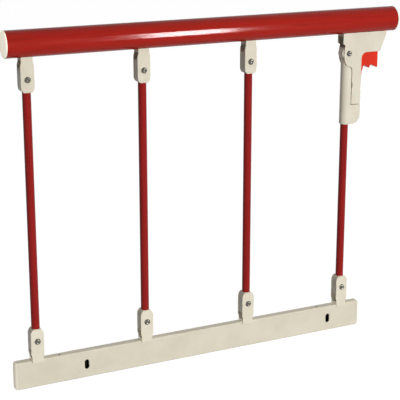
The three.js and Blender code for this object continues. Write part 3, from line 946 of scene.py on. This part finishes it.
@dataclass
class PostRow:
    """The four posts with their brackets, fittings, rivets and tubes."""

    layout: Layout
    ears: Ears
    wall: float = 1.2
    spigot_length: float = 18.0
    fitting_inset: float = 0.2
    fitting_round: float = 0.7
    seat_length: float = 30.0
    rivet_radius: float = 2.5
    rivet_head: float = 4.0
    rivet_rise: float = 2.2
    rivet_dimple: float = 0.7
    dome_shares: tuple[Pair, ...] = (
        (1, 0), (0.98, 0.22), (0.90, 0.46), (0.78, 0.70), (0.64, 0.90), (0.48, 1))
    dimple_shares: tuple[Pair, ...] = ((0.34, 0.5), (0.2, 1), (0, 1))

    def lower_bracket(self) -> Solid:
        """A bracket on the bottom rail, whose back ear ends at the rail's top."""
        lay, ears = self.layout, self.ears
        neck = ears.neck_width / 2
        base = lay.seat - lay.stand_off
        foot = lay.stand_off + ears.foot_lap
        front, back = ears.pair(ears.outline(foot), ears.rounding)
        web = ears.between(-neck, base, neck, lay.web_thickness - lay.stand_off)
        back_foot = Solid.block((-neck - lay.overrun, 0, -foot - ears.foot_sag - lay.overrun),
                                (neck + lay.overrun, lay.bracket_depth, base))
        screw = ears.screw_bore(0, -lay.stand_off)
        return front.join(back, web).cut(back_foot, ears.pin_bore(), screw)

    def upper_bracket(self) -> Solid:
        """A bracket under the top tube, hollowed to seat on it."""
        lay, ears = self.layout, self.ears
        neck = ears.neck_width / 2
        outline = ears.outline(lay.bracket_top)
        front, back = (ear.moved(turn(180, "Y")) for ear in ears.pair(outline, ears.rounding))
        web = ears.between(-neck, lay.stand_off - lay.web_thickness,
                           neck, lay.bracket_top - 2 * ears.foot_sag)
        seat = ears.tube_seat(0, self.seat_length)
        screw = ears.screw_bore(0, lay.stand_off)
        return front.join(back, web).cut(seat, ears.pin_bore(), screw)

    def fitting(self) -> Solid:
        """The block on a post's end, with its spigot."""
        ears = self.ears
        half = ears.width / 2 - self.fitting_inset
        outline = Outline.rounded(half, ears.reach, ears.corner_run, ears.corner_rise)
        body = Solid.plate(outline, 2 * self.layout.post_radius, 0, self.fitting_round)
        radius = self.layout.post_radius - self.wall - self.layout.clearance
        root = ears.reach / 2
        middle = ears.reach + (self.spigot_length - root) / 2
        length = root + self.spigot_length
        spigot = Solid.rod(Axis.Z, radius, length, (0, 0, middle), Facets.PIN)
        return body.join(spigot).cut(ears.pin_bore())

    def rivet(self) -> Solid:
        """A rivet along Y, with a domed and slightly dimpled head on each side."""
        head = self.layout.bracket_depth / 2 + self.layout.seat
        top = head + self.rivet_rise
        half = [(self.rivet_radius, head)]
        half += [(self.rivet_head * a, head + self.rivet_rise * b) for a, b in self.dome_shares]
        half += [(self.rivet_head * a, top - self.rivet_dimple * b) for a, b in self.dimple_shares]
        return Solid.turned([(a, -b) for a, b in reversed(half)] + half, Axis.Y, Facets.RIVET)

    def tube(self, length: float) -> Solid:
        """A post's tube, from height zero up."""
        outer = self.layout.post_radius
        inner = outer - self.wall
        profile = [(inner, 0), (outer, 0), (outer, length), (inner, length)]
        return Solid.turned(profile, Axis.Z, Facets.POST)

    def build(self, shop: Workshop) -> None:
        """Makes every piece of the four posts but the latch.

        Args:
            shop: Where the pieces are made and dressed.
        """
        lay, finishes = self.layout, shop.finishes
        lower, upper = self.lower_bracket(), self.upper_bracket()
        fitting, rivet = self.fitting(), self.rivet()
        foot = self.ears.reach + lay.seat
        heads = [lay.pivot_rise - foot] * (lay.post_count - 1)
        heads.append(lay.pivot_rise - lay.housing_end + lay.socket_depth - lay.clearance)
        for i, (x, head) in enumerate(zip(lay.post_places, heads), start=1):
            low = (x, 0, lay.lower_pivot)
            high = (x, 0, lay.upper_pivot)
            post = f"post_{i}"
            shop.piece(f"lower_bracket_{i}", "bottom_rail", lower, finishes.coating, low)
            shop.piece(f"lower_pivot_rivet_{i}", "bottom_rail", rivet, finishes.steel, low)
            shop.piece(f"post_lower_fitting_{i}", post, fitting, finishes.plastic, low)
            shop.piece(f"post_tube_{i}", post, self.tube(head - foot), finishes.post_grain,
                       (x, 0, lay.lower_pivot + foot))
            shop.piece(f"upper_pivot_rivet_{i}", "top_rail", rivet, finishes.steel, high)
            if i < lay.post_count:
                shop.piece(f"upper_bracket_{i}", "top_rail", upper, finishes.coating, high)
                shop.piece(f"post_upper_fitting_{i}", post, fitting, finishes.plastic, high,
                           turn(180, "Y"))


@dataclass
class Latch:
    """Latch bracket, housing and trigger at the last post's upper pivot."""

    layout: Layout
    ears: Ears
    head_left: float = 9.8
    head_drop: float = 14.0
    head_top_right: float = 60.4
    head_low_right: float = 50.6
    head_wall: float = 1.8
    plate_round: float = 0.6
    seat_middle: float = 25.0
    seat_length: float = 90.0
    inner_fillet: float = 8.0
    seam: float = 0.9
    seam_place: float = 5.3
    seam_bend: float = 8.0
    seam_pull: Pair = (0.6, 0.3)
    boss_left: float = 7.8
    boss_rise: float = 18.2
    notch_rise: float = 11.0
    tongue_right: float = 20.4
    tongue_end: float = 72.0
    tongue_wall: float = 1.8
    tongue_left_wall_top: float = 14.0
    slit_top: float = 42.0
    slit_height: float = 7.0
    slit_depth: float = 0.9
    screw_places: Pair = (0.0, 42.0)
    housing_left: float = 7.4
    shoulder: float = 12.0
    housing_corner: float = 12.0
    housing_edge: float = 1.6
    housing_rim: float = 0.5
    stock_margin: float = 0.02
    knuckle_radius: float = 9.6
    travel: float = 7.0
    trigger_gap: float = 0.5
    trigger_round: float = 0.7
    trigger_right: float = 48.2
    arm_left: float = 10.0
    arm_top: float = 8.0
    arm_foot: float = 2.0
    notch_drop: float = 18.3
    tooth_drop: float = 5.2
    first_notch: float = 28.0
    first_tooth: float = 35.4
    second_notch: float = 38.6
    tooth_round: float = 2.4
    tail_width: float = 3.6
    tail_tip: float = 0.9
    tail_end: float = 43.0
    bolt_place: float = 13.4
    bolt_hole: float = 3.05
    end_hole_length: float = 6.0
    arm_hole_length: float = 14.0
    pin_hole: float = 1.55
    pin_lift: float = 4.0

    @property
    def tongue_left(self) -> float:
        """X of the tongue's edge on the seam."""
        return self.seam_place + self.seam / 2

    @property
    def housing_right(self) -> float:
        """X of the housing's edge on the seam."""
        return self.seam_place - self.seam / 2

    def bolt_bore(self, length: float, z: float) -> Solid:
        """The bolt's hole along Z, centred on a height."""
        return Solid.rod(Axis.Z, self.bolt_hole, length, (self.bolt_place, 0, z), Facets.PIN)

    def bracket_outline(self) -> Outline:
        """The bracket from the front: head, boss at the pivot, and tongue down the seam."""
        left, right, fillet = self.tongue_left, self.tongue_right, self.inner_fillet
        deep, slit = left + self.slit_depth, -self.slit_top
        rise, bend = self.boss_rise, self.seam_bend
        pull_x, pull_z = self.seam_pull
        notch = 180 - math.degrees(math.asin(self.notch_rise / rise))
        top = self.layout.bracket_top
        outline = Outline((-self.head_left, top), (-self.head_left, self.head_drop))
        outline.arc(0, 0, self.boss_left, rise, notch, 270, steps=30)
        outline.bend((left * pull_x, -rise), (left, -rise - bend * pull_z), (left, -rise - bend))
        outline.line((left, slit), (deep, slit), (deep, slit - self.slit_height),
                     (left, slit - self.slit_height), (left, -self.tongue_end),
                     (right, -self.tongue_end))
        outline.arc(right + fillet, -fillet, fillet, fillet, 180, 90)
        return outline.line((self.head_low_right, 0), (self.head_top_right, self.layout.stand_off),
                            (self.head_top_right, top))

    def bracket(self) -> Solid:
        """Two plates, a hollowed web, the head's end wall and the tongue's walls."""
        lay, ears = self.layout, self.ears
        low, high, end = self.head_low_right, self.head_top_right, -self.tongue_end
        front, back = ears.pair(self.bracket_outline(), self.plate_round)
        web = ears.between(-self.head_left, lay.stand_off - lay.web_thickness,
                           high, lay.bracket_top)
        wall_top = -self.arm_foot - self.travel - lay.clearance
        right = self.tongue_right
        right_wall = ears.between(right - self.tongue_wall, end, right, wall_top)
        wall = self.tongue_left + self.slit_depth
        left_wall = ears.between(wall, end, wall + self.tongue_wall, -self.tongue_left_wall_top)
        end_wall = ears.between(self.tongue_left, end, right, end + self.tongue_wall)
        slant = Outline((low - self.head_wall, 0), (low, 0), (high, lay.stand_off),
                        (high - self.head_wall, lay.stand_off))
        head_end = Solid.plate(slant, lay.ear_gap + 2 * ears.side_lap)
        seat = ears.tube_seat(self.seat_middle, self.seat_length)
        bolt = self.bolt_bore(self.end_hole_length, end)
        screws = [ears.screw_bore(x, lay.stand_off) for x in self.screw_places]
        body = front.join(back, web, right_wall, left_wall, end_wall, head_end)
        return body.cut(seat, ears.pin_bore(), bolt, *screws)

    def housing_outline(self) -> Outline:
        """The housing from the front, with its upper edge along the seam round the boss."""
        left, right, end = -self.housing_left, self.housing_right, -self.layout.housing_end
        boss, bend = self.boss_rise + self.seam, self.seam_bend
        shelf = -self.tongue_end - self.seam
        corner, edge = self.housing_corner, self.housing_edge
        pull_x, pull_z = self.seam_pull
        angle = 180 + math.degrees(math.asin(self.shoulder / boss))
        outline = Outline((left, -self.shoulder), (left, end + edge))
        outline.arc(left + edge, end + edge, edge, edge, 180, 270, steps=6)
        outline.arc(self.tongue_right - corner, end + corner, corner, corner, -90, 0, steps=16)
        outline.line((self.tongue_right, shelf), (right, shelf), (right, -boss - bend))
        outline.bend((right, -boss - bend * pull_z), (right * pull_x, -boss), (0, -boss))
        return outline.arc(0, 0, self.boss_left + self.seam, boss, 270, angle, steps=24)

    def housing_stock(self) -> Solid:
        """The stock that the housing's body is cut from, its left side half a cylinder."""
        lay = self.layout
        half = lay.bracket_depth / 2 + self.stock_margin
        right = self.tongue_right + lay.overrun
        length = lay.housing_end + lay.overrun
        outline = Outline((right, -half), (right, half))
        outline.arc(half - self.housing_left, 0, half, half, 90, 270, steps=40)
        return Solid.plate(outline, length).moved(shift(0, 0, -length / 2) @ turn(90, "X"))

    def housing(self) -> Solid:
        """Full-depth body round the post, and a knuckle between the bracket's plates."""
        lay = self.layout
        half, over = lay.post_radius, lay.overrun
        face = lay.bracket_depth / 2 - SAME_POINT
        body = Solid.plate(self.housing_outline(), lay.bracket_depth)
        neck = Solid.block((-self.housing_left, -half, -self.tongue_end),
                           (self.housing_right, half, -self.knuckle_radius / 2))
        body = body.softened(self.housing_rim, lambda p: abs(p.y) > face).join(neck)
        knuckle = Solid.rod(Axis.Y, self.knuckle_radius, 2 * half, (0, 0, 0), Facets.POST)
        middle = -lay.housing_end + (lay.socket_depth - over) / 2
        socket = Solid.rod(Axis.Z, half + lay.clearance, lay.socket_depth + over, (0, 0, middle),
                           Facets.POST)
        deep = self.travel + 2 * lay.clearance
        pocket = self.bolt_bore(deep + over, -self.tongue_end - self.seam - (deep - over) / 2)
        body = body.common(self.housing_stock()).join(knuckle)
        return body.cut(socket, pocket, self.ears.pin_bore())

    def trigger(self) -> Solid:
        """One moulding: arm inside the head, toothed grip and tail outside."""
        left = self.tongue_right + self.layout.clearance
        right, tail = self.trigger_right, left + self.tail_width
        notch, tooth = -self.notch_drop, -self.notch_drop - self.tooth_drop
        r = self.tooth_round
        outline = Outline((self.arm_left, -self.arm_foot), (left, -self.arm_foot),
                          (left, -self.tail_end), (left + self.tail_tip, -self.tail_end))
        outline.bend((left + self.tail_width / 2, tooth), (tail, tooth))
        outline.bend((tail, notch), (self.first_notch, notch))
        outline.line((self.first_tooth - r, tooth + r / 2))
        outline.bend((self.first_tooth, tooth), (self.first_tooth, tooth + r))
        outline.bend((self.first_tooth + r / 2, notch), (self.second_notch, notch))
        outline.line((right - r, tooth + r / 2))
        outline.bend((right, tooth), (right, tooth + r))
        outline.line((right, self.arm_top), (self.arm_left, self.arm_top))
        thickness = self.layout.ear_gap - 2 * self.trigger_gap
        body = Solid.plate(outline, thickness, 0, self.trigger_round)
        length, at = self.arm_hole_length, (self.bolt_place, 0, self.pin_lift)
        bolt = self.bolt_bore(length, (self.arm_top - self.arm_foot) / 2)
        return body.cut(bolt, Solid.rod(Axis.Y, self.pin_hole, length, at, Facets.SCREW))

    def build(self, shop: Workshop) -> None:
        """Makes the latch's visible pieces.

        Args:
            shop: Where the pieces are made and dressed.
        """
        at = (self.layout.post_places[-1], 0, self.layout.upper_pivot)
        shop.piece("latch_bracket", "top_rail", self.bracket(), shop.finishes.plastic, at)
        shop.piece("latch_housing", "post_4", self.housing(), shop.finishes.plastic, at)
        shop.piece("trigger", "trigger", self.trigger(), shop.finishes.trigger, at)


@dataclass
class HiddenParts:
    """CAD pieces that stay as they are and only get a finish."""

    steel: tuple[str, ...] = ("screw", "latch_bolt", "latch_cross_pin")
    wire: str = "latch_spring"

    def dress(self, nodes: dict[str, bpy.types.Object], shop: Workshop) -> None:
        """Gives each kept CAD piece its material.

        Args:
            nodes: The CAD nodes by name.
            shop: Where the other pieces were made.
        """
        for name in sorted(set(nodes) - set(shop.made)):
            is_wire = name == self.wire
            if not is_wire and not any(word in name for word in self.steel):
                raise ValueError(f"{name} has no finish")
            finish = shop.finishes.wire if is_wire else shop.finishes.steel
            nodes[name].data.materials.clear()
            nodes[name].data.materials.append(finish.material)
            log.info("%s: kept from the frame", name)


@dataclass(frozen=True)
class Window:
    """A rectangular soft lamp, in watts and metres."""

    name: str
    power: float
    at: Point
    size: Pair = (0.8, 0.8)
    aim: Point = (0.0, 0.0, 0.2)
    gloss_only: bool = False


@dataclass
class Studio:
    """White floor and backdrop, soft lamps, and the camera."""

    layout: Layout
    camera_at: Point = (-0.602, -1.32, 0.6468)
    azimuth: float = -24.804
    elevation: float = 14.384
    lens: float = 101.53
    sensor_width: float = 36.0
    shift: Pair = (0.0, -0.13)
    clip_end: float = 50.0
    floor_size: float = 12.0
    floor_drop: float = 0.0006
    sweep_radius: float = 1.5
    sweep_steps: int = 12
    backdrop_height: float = 5.0
    paper: Colour = (0.22, 0.22, 0.22)
    ambient: float = 0.09
    paper_glow: float = 0.955
    front: Window = Window("front_window", 160.0, (0.7, -4.2, 1.0), (1.6, 1.4), (0.02, 0.0, 0.22))
    top: Window = Window("top_window", 28.0, (0.2, -0.8, 3.6), (2.4, 2.0), (0.02, 0.0, 0.22))
    back: Window = Window("back_window", 80.0, (0.0, 3.6, 0.7), (1.6, 1.2))
    strip: Window = Window(
        "rail_strip", 62.0, (0.614, -1.43, 0.44), (0.215, 0.95), (0.0, 0.0, 0.431), True)
    sheen: Window = Window("rivet_window", 60.0, (1.3, -1.6, 1.3), (0.9, 0.9), gloss_only=True)
    end: Window = Window("end_window", 30.0, (-1.6, -0.9, 0.75), aim=(-0.26, 0.0, 0.43))
    right: Window = Window("right_window", 22.0, (3.5, -0.6, 0.8), (1.4, 1.4))
    left: Window = Window("side_window", 14.0, (-1.9, -0.55, 0.5))
    latch: Window = Window("latch_window", 3.0, (-1.9, -0.55, 0.5))

    def camera(self) -> None:
        """Makes the camera, with the lens shift of the picture's framing."""
        data = bpy.data.cameras.new("camera")
        data.sensor_fit = "HORIZONTAL"
        data.sensor_width = self.sensor_width
        data.lens = self.lens
        data.shift_x, data.shift_y = self.shift
        data.clip_end = self.clip_end
        camera = linked("camera", data)
        camera.location = self.camera_at
        camera.rotation_euler = (math.radians(90 - self.elevation), 0, math.radians(self.azimuth))
        bpy.context.scene.camera = camera

    def lamp(self, window: Window, only: Sequence[bpy.types.Object] = (),
             spare: Sequence[bpy.types.Object] = ()) -> None:
        """Adds a lamp.

        Args:
            window: What it is.
            only: The pieces that it shines on, or none for all.
            spare: The pieces that it leaves out.
        """
        data = bpy.data.lights.new(window.name, "AREA")
        data.shape = "RECTANGLE"
        data.size, data.size_y = window.size
        data.energy = window.power
        lamp = linked(window.name, data)
        lamp.location = window.at
        way = Vector(window.aim) - Vector(window.at)
        lamp.rotation_euler = way.to_track_quat("-Z", "Y").to_euler()
        lamp.visible_camera = False
        lamp.visible_diffuse = not window.gloss_only
        lamp.visible_glossy = window.gloss_only
        if only or spare:
            lit = bpy.data.collections.new(window.name + "_receivers")
            for piece in (*only, *spare):
                lit.objects.link(piece)
            for link in lit.collection_objects[len(only):]:
                link.light_linking.link_state = "EXCLUDE"
            lamp.light_linking.receiver_collection = lit

    def _paper_material(self) -> bpy.types.Material:
        """Makes matt white paper that shows as white where it is seen, and keeps shadows.

        Returns:
            The material.
        """
        made = bpy.data.materials.new("studio_paper")
        bench = NodeBench(made)
        shader = bench.fill(bench.tree.nodes["Principled BSDF"], Base_Color=(*self.paper, 1),
                            Roughness=1.0, Specular_IOR_Level=0.0)
        level = bench.add("ShaderNodeMath")
        level.operation = "MULTIPLY"
        level.inputs[1].default_value = self.paper_glow
        glow, both = bench.add("ShaderNodeEmission"), bench.add("ShaderNodeAddShader")
        bench.link((bench.seen(), 0, level, 0), (level, 0, glow, "Strength"),
                   (shader, "BSDF", both, 0), (glow, "Emission", both, 1),
                   (both, "Shader", bench.tree.nodes["Material Output"], "Surface"))
        return made

    def floor(self) -> None:
        """Makes the floor, which curves up into the backdrop far behind the object."""
        half, radius = self.floor_size / 2, self.sweep_radius
        z = -self.layout.rail_height / 2 * MM - self.floor_drop
        profile = [(-half, z)]
        for i in range(self.sweep_steps + 1):
            a = math.radians(-90 + 90 * i / self.sweep_steps)
            y = half - radius + radius * math.cos(a)
            profile.append((y, z + radius + radius * math.sin(a)))
        profile.append((half, z + self.backdrop_height))
        bm = bmesh.new()
        left = [bm.verts.new((-half, y, h)) for y, h in profile]
        right = [bm.verts.new((half, y, h)) for y, h in profile]
        for i in range(len(profile) - 1):
            bm.faces.new((left[i], right[i], right[i + 1], left[i + 1])).smooth = True
        mesh = bpy.data.meshes.new("studio_floor")
        bm.to_mesh(mesh)
        bm.free()
        mesh.materials.append(self._paper_material())
        linked("studio_floor", mesh)

    def world(self) -> None:
        """Sets the world: white where it is seen, and a moderate light elsewhere."""
        world = bpy.data.worlds.new("studio_world")
        bpy.context.scene.world = world
        bench = NodeBench(world)
        back = bench.fill(bench.tree.nodes["Background"], Color=(1, 1, 1, 1))
        spread = bench.add("ShaderNodeMapRange", To_Min=self.ambient, To_Max=1.0)
        bench.link((bench.seen(), 0, spread, "Value"), (spread, "Result", back, "Strength"))

    def build(self) -> None:
        """Makes the studio with the lamp that shines on everything."""
        self.camera()
        self.floor()
        self.world()
        self.lamp(self.front)
        bpy.context.scene.view_settings.view_transform = "Standard"

    def highlights(self, pieces: dict[str, bpy.types.Object]) -> None:
        """Adds the lamps that shine on some pieces more than on others.

        Args:
            pieces: The guard's pieces by node.
        """
        red = [node for node in pieces if "post_tube" in node or node == "top_rail_tube"]
        feet = [node for node in pieces if node.startswith("lower_bracket")]
        self.lamp(self.top, spare=[pieces["top_rail_tube"]])
        for window, nodes in (
            (self.back, pieces),
            (self.strip, ["top_rail_tube"]),
            (self.sheen, [node for node in pieces if "rivet" in node]),
            (self.end, ["top_rail_cap_left"]),
            (self.right, [node for node in pieces if node not in red]),
            (self.left, [*feet, "bottom_rail_cap_left"]),
            (self.latch, ["latch_housing"]),
        ):
            self.lamp(window, [pieces[node] for node in nodes])


def main() -> None:
    """Builds the guard over the frame."""
    logging.basicConfig(level=logging.INFO, format="%(name)s %(message)s")
    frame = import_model()
    layout = Layout()
    studio = Studio(layout)
    studio.build()
    shop = Workshop(layout, Finishes())
    ears = Ears(layout)
    for part in (BottomRail(layout), TopRail(layout), PostRow(layout, ears), Latch(layout, ears)):
        part.build(shop)
    HiddenParts().dress(frame["nodes"], shop)
    studio.highlights(shop.made)


if __name__ == "__main__":
    main()
